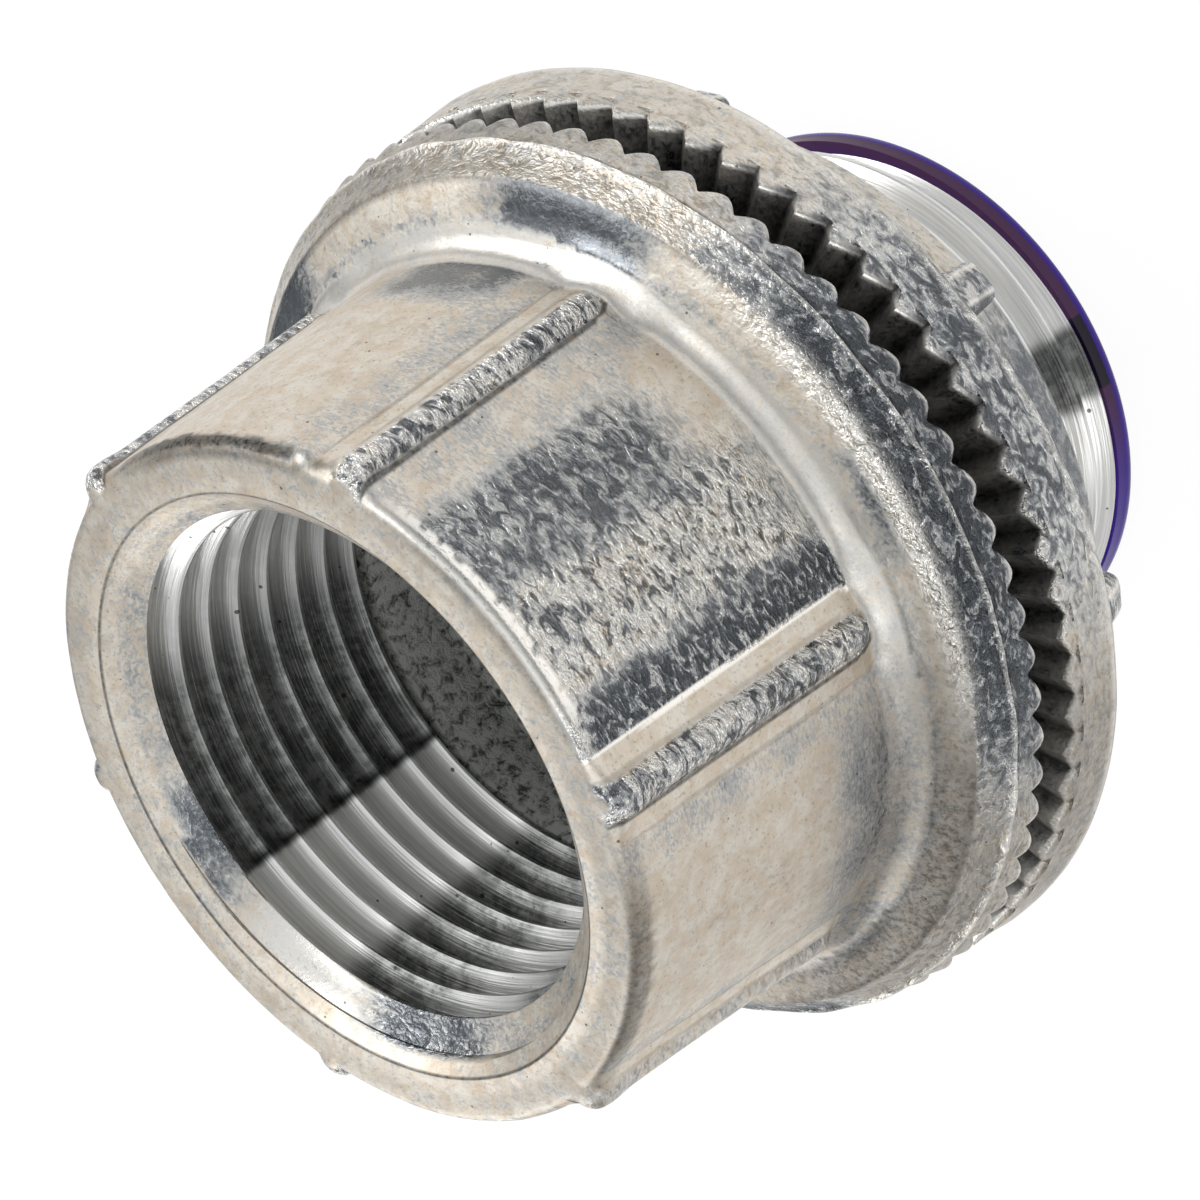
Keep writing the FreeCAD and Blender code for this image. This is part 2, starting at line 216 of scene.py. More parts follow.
def close_between(bm, rim_a, rim_b, material=0):
    """Joins two open rims with a ring of faces."""
    made = bmesh.ops.bridge_loops(bm, edges=rim_a + rim_b)
    for face in made["faces"]:
        face.material_index = material


def close_flat(bm, rim_a, rim_b):
    """Fills the flat ring between two open rims that lie at one height."""
    bmesh.ops.triangle_fill(bm, use_beauty=True, edges=rim_a + rim_b, normal=(0, 0, 1))


def tooth_share(angle, crest):
    """Where an angle lies in its tooth, from 0 at one crest to 1 at the next."""
    return ((angle - crest) / TOOTH) % 1.0


def notch(angle, crest, root):
    """How deep the notch is at an angle, from 0 on a crest to 1 at the root."""
    share = tooth_share(angle, crest)
    if share < root:
        return share / root
    return (1 - share) / (1 - root)


def to_column(angle, crest, columns):
    """The angle from an even column of faces to where its tooth bends."""
    share = tooth_share(angle, crest)
    teeth, column = divmod(round(share * len(columns)), len(columns))
    return (columns[column] + teeth - share) * TOOTH


def to_rib(angle):
    """The angle to the middle of the nearest rib, counted in columns of faces."""
    step = TURN / RIBS
    return abs(angle - step * round(angle / step)) / COLUMN


def rib_stand(aside, height, radius):
    """How far a rib stands off the tube: a round bead with rounded ends, and a hollow flank that
    wraps it and ends in a crease."""
    across = aside * COLUMN * radius
    past_foot = max(0.0, RIB_FOOT - height)
    past_head = max(0.0, height - RIB_HEAD)
    to_foot = math.hypot(across, past_foot)
    knob = 1 + 0.15 * smooth(height, 45.8, 47.6)
    bead = math.hypot(to_foot, past_head) / (BEAD_WIDTH * knob)
    top = BEAD_RISE * knob * math.sqrt(max(0.0, 1 - bead ** 2))
    flank = clamp((FLANK_COLUMNS * COLUMN * radius - to_foot) / FLANK_FALL)
    hollow = (0.15 * flank + 0.24 * flank ** 2) * (1 - smooth(height, 48.3, 48.9))
    return max(top, hollow)


def nib(angle, height):
    """How far the small round lump stands off the mouth's edge."""
    turn = (math.radians(-NIB_SEEN) - angle + math.pi) % TURN - math.pi
    away = math.hypot(turn * MOUTH_SIDE, height - NIB_HEIGHT) / NIB_SIZE
    return NIB_RISE * math.sqrt(max(0.0, 1 - away ** 2))


def tube_rows():
    """Radius and height of the hub's outside, from the mouth's inner edge to the toothed back."""
    rows = [(MOUTH_INNER, MOUTH_ROUND_END), (17.2, 48.88), (17.28, 48.95), (MOUTH_EDGE, MOUTH),
            (17.43, MOUTH), (17.9, MOUTH), (18.6, MOUTH), (19.1, MOUTH), (19.55, MOUTH)]
    rows += [(19.6 + 0.6 * math.sin(a), 48.4 + 0.6 * math.cos(a)) for a in (0.35, 0.75, 1.15)]
    heights = [48.4 - 0.3 * i for i in range(10)] + [45.4 - 1.21 * i for i in range(1, 12)]
    heights += [32.05 - 0.29 * i for i in range(1, 8)]
    slope = 1.4 / (MOUTH - FLANGE_ROOT)
    rows += [(20.2 + slope * (MOUTH - z), z) for z in heights]
    fillet = [(21.56, 29.8), (21.64, 29.5), (21.8, 29.22), (22.04, 28.98), (22.36, 28.78), (22.7, 28.66),
              (23.0, 28.6)]
    face = [(23.5, 28.44), (24.3, 28.24), (25.1, 27.98), (25.52, 27.8), (25.7, 27.66), (25.82, 27.46)]
    slant = [(26.05, 27.14), (26.35, 26.8), (26.6, 26.55), (26.78, 26.4), (26.92, 26.32), (27.0, 26.2),
             (26.9, 26.08)]
    band = [(26.96, 25.9), (27.1, 25.6), (27.22, 25.35), (27.34, 25.08), (27.44, 24.8), (27.5, 24.58),
            (27.44, 24.44)]
    back = [(27.25, SEAT), (26.2, SEAT), (25.2, SEAT), (24.7, SEAT), (TOOTH_EDGE, SEAT)]
    return rows + fillet + face + slant + band + back


def shape_hub(vert):
    """Moves a point of the turned outside to raise the ribs, the teeth and the flash line."""
    radius, angle, height = polar(vert)
    angle += to_column(angle, FLANGE_CREST, FLANGE_COLUMNS) * smooth(27.0 - height, 0, 2)
    angle += TO_RIB * smooth(height, 27.0, 28.6)
    wave = uneven(angle, height, 2.5)
    if height > FLANGE_ROOT and radius > 19.0:
        radius += rib_stand(to_rib(angle), height, radius)
        radius += nib(angle, height)

    # The fillet swells where a rib runs out into it
    if radius > 21.5 and height < 30.0:
        bulge = smooth(5.0 - to_rib(angle) * COLUMN * radius, 0, 4.0)
        radius += 0.55 * bulge * smooth(height, 28.35, 28.7) * (1 - smooth(height, 28.9, 30.0))

    # The ragged flash line, the flange's edge and the casting's own waves
    if 26.1 < height < 26.36 and radius > 26.8:
        radius += 0.14 * (0.4 + wave)
    if 27.5 < height < 27.75 and radius > 25.4:
        radius += 0.07 * uneven(angle, 0, 1.2, 5.0)
    if radius > 19.3 and height > 27.9:
        radius += 0.035 * wave

    # The notches, which scallop the back edge
    rise = 1 - math.sin(math.pi * (1 - notch(angle, FLANGE_CREST, FLANGE_NOTCH)) * 0.5)
    near = smooth(26.0 - height, 0, 1.3) * (1 if radius > TEETH_FROM else 0)
    height += 0.5 * rise * near * radius / FLANGE_RADIUS
    radius -= 0.34 * rise * near * smooth(radius, 26.8, 27.2)

    # The mouth's face isn't quite flat
    if height > 48.99 and radius > 17.5:
        height -= 0.03 * smooth(wave, -0.2, 0.8)
    place(vert, radius, angle, height)


def lead_in(height):
    """The radius of the lead-in cone at a height."""
    return SOCKET_CREST + (height - LEAD_IN_END) * (MOUTH_EDGE - SOCKET_CREST) / (MOUTH - LEAD_IN_END)


def socket_thread():
    """The taper thread, and the lead-in cone that it runs out in."""
    thread = swept_thread(SOCKET_CREST, SOCKET_ROOT, LEAD_IN_END, THREAD_END, 168, TAPER)
    for vert in thread.verts:
        radius, angle, height = polar(vert)
        if height > LEAD_IN_END and radius < lead_in(height):
            place(vert, lead_in(height), angle, height)
    trim(thread, LEAD_IN_TOP, True)
    trim(thread, THREAD_END, False)
    return thread


def stub_thread():
    """The stub's straight thread, with a small chamfer at its end."""
    stub = swept_thread(STUB_CREST, STUB_ROOT, 26.4, STUB_END, 140)
    for vert in stub.verts:
        radius, angle, height = polar(vert)
        limit = STUB_CHAMFER + max(0.0, height - STUB_END)
        if radius > limit:
            place(vert, limit, angle, height)
    trim(stub, RECESS_FLOOR, True)
    trim(stub, STUB_END, False)
    return stub


def hub_casting():
    """The zinc casting: its outside is turned, then ribs and teeth are raised from it."""
    bm = bmesh.new()
    outer = turned(tube_rows(), TOOTH_SECTORS, len(FLANGE_COLUMNS), FLANGE_CREST)
    for vert in outer.verts:
        shape_hub(vert)
    join(bm, outer)
    recess = [(RECESS_EDGE, SEAT), (24.5, 24.75), (21.2, 24.75), (RECESS_OUTER, 24.9),
              (RECESS_OUTER, RECESS_FLOOR), (RECESS_INNER, RECESS_FLOOR)]
    join(bm, turned(recess, TOOTH_SECTORS, 3))
    close_between(bm, open_rim(bm, SEAT, TOOTH_EDGE), open_rim(bm, SEAT, RECESS_EDGE))

    join(bm, socket_thread(), 1)
    for face in bm.faces:
        if face.material_index == 1 and all(polar(vert)[2] > SKIN_FROM for vert in face.verts):
            face.material_index = 0
    close_between(bm, open_rim(bm, LEAD_IN_TOP, *SOCKET_SPAN), open_rim(bm, MOUTH_ROUND_END, MOUTH_INNER))
    bore = [(CAST_BORE, CAST_BORE_TOP), (CAST_BORE, 28.6), (CAST_BORE, CONDUIT_STOP), (13.8, CONDUIT_STOP),
            (13.45, 26.4), (THROAT, 26.1), (THROAT, 20.0), (THROAT, SLEEVE_END), (SLEEVE, SLEEVE_END),
            (SLEEVE, 8.0), (SLEEVE, STUB_END), (STUB_END_EDGE, STUB_END)]
    join(bm, turned(bore, (6, 6), 4), 2)
    close_between(bm, open_rim(bm, THREAD_END, *SOCKET_SPAN), open_rim(bm, CAST_BORE_TOP, CAST_BORE), 2)

    join(bm, stub_thread(), 1)
    close_flat(bm, open_rim(bm, RECESS_FLOOR, *STUB_SPAN), open_rim(bm, RECESS_FLOOR, RECESS_INNER))
    close_flat(bm, open_rim(bm, STUB_END, *STUB_SPAN), open_rim(bm, STUB_END, STUB_END_EDGE))
    finish_piece(bm, "hub_casting", ["tumbled_zinc", "cut_thread", "rough_bore"], hub_tones, "hub",
                 "hub_body")


def finish_piece(bm, name, finishes, tones, body, node, sharp=38):
    """Makes the object from its mesh, gives it its finishes and tones, and sets it on its body.
    Edges that turn by more degrees than sharp stay crisp."""
    bmesh.ops.remove_doubles(bm, verts=bm.verts, dist=WELD_PIECE)
    bmesh.ops.dissolve_degenerate(bm, edges=bm.edges, dist=WELD_EDGE)
    bmesh.ops.recalc_face_normals(bm, faces=bm.faces)
    for face in bm.faces:
        face.smooth = True
    for edge in bm.edges:
        edge.smooth = not (edge.is_manifold and edge.calc_face_angle(0) > math.radians(sharp))
    mesh = bpy.data.meshes.new(name)
    bm.to_mesh(mesh)
    open_edges = sum(1 for edge in bm.edges if not edge.is_manifold)
    print(name, "triangles", sum(len(face.verts) - 2 for face in bm.faces), "open edges", open_edges)
    bm.free()
    layer = mesh.color_attributes.new("tones", "FLOAT_COLOR", "POINT")
    for vert, tone in zip(mesh.vertices, layer.data):
        tone.color = tones(*polar(vert))
    for finish in finishes:
        mesh.materials.append(bpy.data.materials[finish])
    piece = bpy.data.objects.new(name, mesh)
    bpy.context.scene.collection.objects.link(piece)
    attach(piece, body)
    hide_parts(node)


def clock(angle):
    """The clock angle from 0 to 360 degrees, counted clockwise as seen from above the mouth."""
    return -math.degrees(angle) % 360


def patch(seen, *spots):
    """1 in the middle of the nearest spot and 0 outside it. A spot is a clock angle and a half width."""
    best = 0.0
    for middle, half in spots:
        away = abs((seen - middle + 180) % 360 - 180)
        best = max(best, smooth(half * 1.25 - away, 0, half * 0.9))
    return best


# Tones are four shares from 0 to 1: slate against beige, which paints a dark reflection; crinkle, with
# painted glints on its crests and painted shade in its valleys; a bright edge, partly wear and partly
# painted highlight; and hollow, which is painted shade.
# Each function takes a place on its piece, mostly as a clock angle, and returns the tones there.

def thread_tones(seen, radius, height):
    """The socket's thread is bright for a stretch below the mould's seam, partly a clean cut and partly
    painted light, and greyer elsewhere with painted shade.
    """
    past = (334 - seen) % 360
    if past < 180:
        slate = 0.85 * smooth(past, 22, 36) - 0.35 * patch(seen, (268, 16))
    else:
        slate = 0.85 - 0.5 * smooth(360 - past, 26, 60)
    on_crest = radius < 15.35 + (height - THREAD_END) * TAPER
    seam = 1.0 if on_crest and (past < 0.7 or past > 359.7) else 0.0
    return (slate, 0.0, 0.0, seam)


def panel_tones(seen, height, across):
    """The panels between the ribs: beige, with slate patches of painted dark reflection that lean round the
    tube, crinkled zones with painted glints, and painted shade on one side.
    """
    lean = 0.4 * (48 - height)
    bright = patch(seen, (155 + 0.4 * lean, 13), (40, 14), (268, 12))
    upper = 0.72 * patch(seen, (138 + lean, 13)) * smooth(height, 30.5, 36.0)
    slate = max(upper, patch(seen, (172, 9), (20, 12), (292, 12), (325, 8)), 0.36 * bright)
    crinkle = max(slate, bright * (1 - 0.6 * smooth(32.5 - height, 0, 2.5)))
    arc = 0.9 * patch(seen, (97, 15), (20, 20), (300, 20)) + 0.5 * patch(seen, (208, 22))
    slate = max(slate, arc * smooth(34.6 - height, 0, 2.4), 0.2 * patch(seen, (110, 7)))
    satin = smooth(5.4 - across, 0, 2.0) * (1 - patch(seen, (171, 8)))
    # Painted shade on the shaded side, more of it towards the flange
    hollow = 0.2 * patch(seen, (208, 28)) + 0.2 * patch(seen, (208, 24)) * smooth(38.0 - height, 0, 6)
    return (slate + (0.3 - slate) * satin, max(0.04, crinkle * (1 - satin)), 0.0, hollow)


def rib_tones(seen, turn, to_foot, tones):
    """A rib on its panel: a pale flank, a crease of painted shade with a painted highlight on one stretch,
    painted shade along one side of the bead, and a crinkled bead with painted glints.
    """
    slate, crinkle, wear_and_glint, hollow = tones
    plain_side = 119 < seen < 131
    if to_foot < 2.5:
        slate, crinkle = (0.3, 0.04) if plain_side else (0.0, 0.06)
    if 2.3 < to_foot < 2.55 and not plain_side:
        hollow = 0.4
        if 170 < seen < 180:
            wear_and_glint, hollow = 0.95, 0.0
    if to_foot < 1.3:
        hollow = 0.9 if turn > 0 else 0.3
    if to_foot < 1.05:
        slate, crinkle, hollow = 0.5, 1.0, 0.0
        if turn < -0.9 and 100 < seen < 120:
            slate, crinkle = 0.1, 0.4
        if 230 < seen < 250:
            slate, crinkle, hollow = 0.3, 0.35, 0.2
    return (slate, crinkle, wear_and_glint, hollow)


def mouth_side_tones(seen, height, tones):
    """The tube's end under the mouth, with a bright strip of painted highlight, a dark, ragged line of
    painted shadow, and a band of painted shade on its shaded side.
    """
    slate, crinkle, wear_and_glint, hollow = tones
    ragged = height + 0.3 * uneven(math.radians(seen), 0, 0.7, 9.0)
    strip = patch(seen, LIT_MOUTH) * smooth(ragged, 47.95, 48.1)
    line = smooth(ragged, 47.95, 48.25) * (patch(seen, SHADED_MOUTH) + 0.4 * patch(seen, (30, 25)))
    line += smooth(ragged, 47.2, 47.9) * 0.75 * patch(seen, (212, 28))
    return (slate, crinkle * (1 - strip), max(wear_and_glint, strip * (1 - smooth(height, 48.85, 48.97))),
            max(hollow, line * (1 - smooth(height, 48.9, 48.98))))


def tube_tones(seen, height, radius):
    """The tube: its panels and ribs, the foot with painted highlight and painted shade, the edge at the
    mouth and the nib.
    """
    turn = (seen + 30) % 60 - 30
    across = math.radians(abs(turn)) * radius
    to_foot = math.hypot(across, max(0.0, RIB_FOOT - height))
    tones = rib_tones(seen, turn, to_foot, panel_tones(seen, height, across))
    # The foot by the flange: a painted highlight, giving way to painted shade on the shaded side
    if height < 29.9:
        painted_shade = patch(seen, SHADED_FLANGE)
        tones = (0.3, 0.03, 0.5 * (1 - painted_shade), 0.5 * painted_shade)
    if height > 47.4 and across > 1.2:
        tones = mouth_side_tones(seen, height, tones)
    if math.hypot(math.radians(seen - NIB_SEEN) * MOUTH_SIDE, height - NIB_HEIGHT) < 0.8:
        tones = (0.2, 0.2, tones[2], 0.0)
    return tones


def flange_tones(seen, radius, height):
    """The flange: a satin face with slate patches of painted dark reflection, a bright edge of painted
    highlight on its lit side, painted shade on its shaded side and outer edge, and slate bands of painted
    dark reflection behind it.
    """
    bright = patch(seen, LIT_FLANGE)
    painted_shade = 0.88 * patch(seen, SHADED_FLANGE)
    # The fillet: a bright line of painted highlight, and painted shade on the shaded side
    if height > FACE_FROM and radius < 23.1:
        line = smooth(radius, 22.2, 22.5) * smooth(23.1 - radius, 0, 0.2)
        return (0.25, 0.0, max(0.55, 0.8 * line) * (1 - painted_shade), painted_shade * 0.5)
    if height > FACE_FROM:
        satin = 0.32 * smooth(24.4 - radius, 0, 0.8)
        slate = max(0.95 * patch(seen, (112, 15), (45, 16), (285, 18), (330, 12)), satin)
        slate *= 1 - smooth(radius, 24.6, 25.0) * bright
        middle = smooth(radius, 23.3, 23.8) * smooth(25.1 - radius, 0, 0.5)
        slate = max(slate, 0.75 * patch(seen, (166, 9)) * middle)
        wear_and_glint = 0.85 * bright * smooth(radius, 24.6, 25.1)
        edge = smooth(radius, 25.3, 25.5) * (1 - bright) * (0.7 if seen < 135 else 0.3)
        hollow = max(painted_shade, edge, 0.65 * patch(seen, (110, 16)) * smooth(radius, 23.4, 24.0))
        return (slate, 0.15 + 0.7 * bright * smooth(radius, 24.4, 25.2), wear_and_glint, hollow)
    # The bands behind the face: slate of painted dark reflection, a painted highlight on the lit side and
    # painted shade on the others
    if height > SEAT + 0.3:
        slate = max(patch(seen, (168, 42), (350, 30), (268, 16)), 0.18)
        wear_and_glint = 0.7 * smooth(height, 27.35, 27.6) * bright
        hollow = max(0.5 * painted_shade, 0.45 * patch(seen, (85, 35)), 0.36 * patch(seen, (168, 30)))
        # The flash line: a painted highlight on it and a painted shadow under it
        if 26.14 < height < 26.36:
            wear_and_glint, hollow = 0.35, 0.0
        if 26.0 < height < 26.14:
            hollow = 0.85
        return (1.1 * slate, 0.3 + 0.6 * slate, wear_and_glint, hollow)
    return (0.4, 0.3, 0.2, 0.0)


def inside_tones(seen, radius, height):
    """The socket's inside, from the mouth's edge down its lead-in to the thread."""
    if height > 48.2:
        # A dark line of painted shade along the mouth's inner edge
        line = smooth(radius, 17.2, 17.26) * (1 - smooth(radius, 17.36, 17.42))
        return (0.15, 0.1, 0.0, 0.85 * line)
    if height > SKIN_FROM:
        # The lead-in: slate patches of painted dark reflection, a patch of painted highlight and a little
        # painted shade all over
        slate = 0.85 * patch(seen, (345, 16), (278, 20))
        return (max(slate, 0.28), 0.5 * slate, 0.9 * patch(seen, (312, 16)), 0.15)
    return thread_tones(seen, radius, height)


def hub_tones(radius, angle, height):
    """The whole casting, by the part of it that a place lies on."""
    seen = clock(angle)
    if radius < 18.0 and height > CONDUIT_STOP:
        return inside_tones(seen, radius, height)
    if radius < 17.6:
        # Stripes of painted dark reflection and painted shade on the stub's thread
        dark = patch(seen, (173, 9), (352, 12), (70, 9))
        return (1.1 * dark, 0.0, 0.0, 0.35 * dark)
    if height > 48.9:
        # The mouth's face: painted shade all over, more on one side and along its outer edge
        painted_shade = 0.16 + 0.2 * patch(seen, (215, 50))
        edge = smooth(radius, 19.3, 19.6) * (0.55 * patch(seen, LIT_MOUTH) + 0.7 * patch(seen, (92, 26)))
        return (0.15, 0.1, 0.0, max(painted_shade, edge))
    if height > 28.9 and radius < 23.5:
        return tube_tones(seen, height, radius)
    if radius > TEETH_FROM or height > FACE_FROM:
        return flange_tones(seen, radius, height)
    # The recess behind the flange, towards the nut: slate with painted shade, heaviest inside a radius of 24
    return (0.9, 0.2, 0.0, 0.9 if radius < 24.0 else 0.2)


def nut_rows():
    """Radius and height of the locknut's outside, from its toothed face round to its back."""
    face = [(NUT_FLAT_EDGE, NUT_FLAT), (19.5, NUT_FLAT), (23.2, NUT_FLAT), (23.75, 21.05), (24.0, NUT_TOP),
            (25.2, NUT_TOP), (26.4, NUT_TOP), (27.05, NUT_TOP)]
    rim = [(27.35, 22.16), (27.5, 22.05), (27.58, 21.85), (NUT_RADIUS, 21.5), (27.62, 21.1), (27.65, 20.7),
           (27.71, 20.2), (27.78, 19.6), (27.85, 19.0), (27.92, 18.6), (27.9, 18.4), (27.8, 18.26),
           (27.6, NUT_RIM_END), (26.2, NUT_RIM_END), (24.6, NUT_RIM_END), (23.3, NUT_RIM_END)]
    collar = [(22.95, 18.1), (22.8, 17.8), (22.6, 16.6), (22.3, 14.9), (22.0, 13.2), (21.7, 11.5),
              (21.55, 10.85), (21.4, 10.62), (21.1, NUT_END), (19.4, NUT_END), (NUT_BACK_EDGE, NUT_END)]
    return face + rim + collar


def shape_nut(vert):
    """Moves a point of the turned locknut to cut its teeth and wear its rim."""
    radius, angle, height = polar(vert)
    angle += to_column(angle, NUT_CREST, NUT_COLUMNS) * smooth(height, 18.8, 20.6)
    deep = notch(angle, NUT_CREST, NUT_NOTCH)
    near = smooth(height, 20.9, 21.9) * (1 if radius > 23.9 else 0)
    height -= deep * near * radius / NUT_RADIUS
    radius -= 0.16 * deep * near * smooth(radius, 27.0, 27.5)
    if radius > 27.3:
        radius -= 0.05 * smooth(uneven(angle, height, 3.0), -0.3, 0.9)
    if radius > 27.0:
        radius -= 0.3 * patch(clock(angle), (148, 34))
    place(vert, radius, angle, height)


def add_lug(bm, angle):
    """A lug is a block with rounded edges, sunk in the collar under the rim."""
    block = bmesh.ops.create_cube(bm, size=1.0)["verts"]
    bmesh.ops.scale(bm, vec=Vector((LUG_OUTER - LUG_INNER, LUG_WIDTH, LUG_HIGH - LUG_LOW)) * MM, verts=block)
    for vert in block:
        if vert.co.x > 0 and vert.co.z < 0:
            vert.co.x -= LUG_FOOT_DROP * MM
    middle = Vector(((LUG_OUTER + LUG_INNER) / 2, 0, (LUG_HIGH + LUG_LOW) / 2))
    bmesh.ops.translate(bm, vec=middle * MM, verts=block)
    edges = list(dict.fromkeys(edge for vert in block for edge in vert.link_edges))
    made = bmesh.ops.bevel(bm, geom=edges, offset=LUG_ROUND * MM, offset_type="OFFSET", segments=4,
                           profile=0.5, affect="EDGES", material=-1)
    lug = list(dict.fromkeys(vert for face in made["faces"] for vert in face.verts))
    bmesh.ops.rotate(bm, cent=(0, 0, 0), matrix=Matrix.Rotation(angle, 3, "Z"), verts=lug)


def nut_thread():
    """The thread in the nut's bore, with a chamfer at each end."""
    thread = swept_thread(NUT_THREAD_CREST, NUT_THREAD_ROOT, 20.3, NUT_END, 120)
    for vert in thread.verts:
        radius, angle, height = polar(vert)
        limit = max(NUT_CHAMFER - (height - NUT_END), NUT_CHAMFER - (NUT_FLAT - height))
        if radius < limit:
            place(vert, limit, angle, height)
    trim(thread, NUT_FLAT, True)
    trim(thread, NUT_END, False)
    return thread


def locknut_casting():
    """The locknut: a toothed rim, a collar with lugs, and the thread in its bore."""
    bm = bmesh.new()
    outer = turned(nut_rows(), TOOTH_SECTORS, len(NUT_COLUMNS), NUT_CREST)
    for vert in outer.verts:
        shape_nut(vert)
    join(bm, outer)
    join(bm, nut_thread(), 1)
    close_flat(bm, open_rim(bm, NUT_FLAT, *NUT_SPAN), open_rim(bm, NUT_FLAT, NUT_FLAT_EDGE))
    close_flat(bm, open_rim(bm, NUT_END, *NUT_SPAN), open_rim(bm, NUT_END, NUT_BACK_EDGE))
    for number in range(LUGS):
        add_lug(bm, LUG_START + TURN / LUGS * number)
    finish_piece(bm, "locknut_casting", ["darker_zinc", "cut_thread"], nut_tones, "locknut", "locknut",
                 sharp=32)


def lug_tones(radius, angle):
    """The lugs: a bright edge, partly wear and partly painted highlight, painted light that leaves the top
    lighter, and painted shade on one side.
    """
    step = TURN / LUGS
    across = ((LUG_START - angle + step / 2) % step - step / 2) * radius
    if 0.8 < abs(across) < 1.05:
        return (0.2, 0.5, 0.45, 0.0)
    return (1.0, 0.6, 0.0, 0.4) if across > 1.0 else (0.55, 0.9, 0.0, 0.12)


def nut_tones(radius, angle, height):
    """The whole nut: its thread, its toothed face, its rim, its lugs and its collar."""
    seen = clock(angle)
    slate = patch(seen, (160, 30), (345, 22), (60, 14))
    painted_shade = 0.6 * patch(seen, SHADED_NUT)
    deep = notch(angle, NUT_CREST, NUT_NOTCH)
    if radius < 18.0:
        return (0.5, 0.0, 0.0, 0.0)
    # The flat face between the flange and the nut: painted shade
    if height > 20.4 and radius < 23.6:
        return (0.3, 0.2, 0.0, 0.35)
    # The teeth: a bright outer edge of painted highlight, and painted shade that deepens into the notches
    if height > 20.4 and radius < 27.2:
        wear_and_glint = 0.8 * smooth(radius, 26.8, 27.1) * smooth(height, 21.4, 21.8)
        return (0.42, 0.15, wear_and_glint, 0.3 + 0.55 * smooth(deep, 0.3, 0.9))
    # The rim: slate of painted dark reflection, bright tooth crests and lower edge that are partly wear and
    # partly painted highlight, and painted shade on its shaded side
    if radius > 27.15:
        below_edge = NUT_TOP - deep - height
        wear_and_glint = 0.85 * (1 - smooth(below_edge, 0.15, 0.4)) * (1 - 0.5 * patch(seen, SHADED_NUT))
        wear_and_glint = max(wear_and_glint, 0.5 * smooth(height, 18.35, 18.5) * (1 - smooth(height, 18.6, 18.9)))
        painted_shade = max(painted_shade, 0.15 * patch(seen, (90, 35)))
        return (0.15 + 0.5 * slate, 0.3 + 0.6 * slate, wear_and_glint, painted_shade * (1 - wear_and_glint))
    if height < 18.15 and radius > 22.7:
        return lug_tones(radius, angle)
    # The collar: slate stripes of painted dark reflection, with painted shade on its shaded side and under
    # the rim
    if height < 18.15:
        slate = 0.2 + 0.6 * patch(seen, (172, 20), (350, 14))
        return (slate, 0.4, 0.0, max(0.15, painted_shade, 0.6 * smooth(height, 17.7, 18.05)))
    return (0.6, 0.3, 0.0, 0.2)


def throat_lip():
    """The violet throat: a lip over the stub's end and the sleeve inside it."""
    rows = [(16.58, STUB_END), (16.6, 1.2), (16.62, 0.81), (16.64, 0.73), (16.64, 0.5)]
    rows += [(16.14 + 0.5 * math.cos(a), 0.5 - 0.5 * math.sin(a)) for a in (0.4, 0.8, 1.2)]
    rows += [(16.1, 0), (15.2, 0), (14.1, 0)]
    rows += [(14.1 - 0.8 * math.sin(a), 0.8 - 0.8 * math.cos(a)) for a in (0.4, 0.8, 1.2)]
    rows += [(THROAT, 0.8), (THROAT, 6.0), (THROAT, SLEEVE_END), (SLEEVE, SLEEVE_END), (SLEEVE, STUB_END),
             (16.58, STUB_END)]
    finish_piece(turned(rows, (6, 6), 6), "throat_lip", ["violet_throat"], lip_tones, "hub",
                 "throat_insulator", sharp=50)


def lip_tones(radius, angle, height):
    """The lip's edge is bright violet, partly as painted highlight, its side plum, and near black in painted
    shade at a few places round it.
    """
    seen = clock(angle)
    edge = 1 - smooth(height, 0.74, 0.8) if radius > 15.5 else 0.6
    edge = max(edge, 0.9 * patch(seen, (212, 26), (40, 20)))
    return (edge, patch(seen, (172, 9), (350, 16), (75, 12)), 0.0, 0.0)


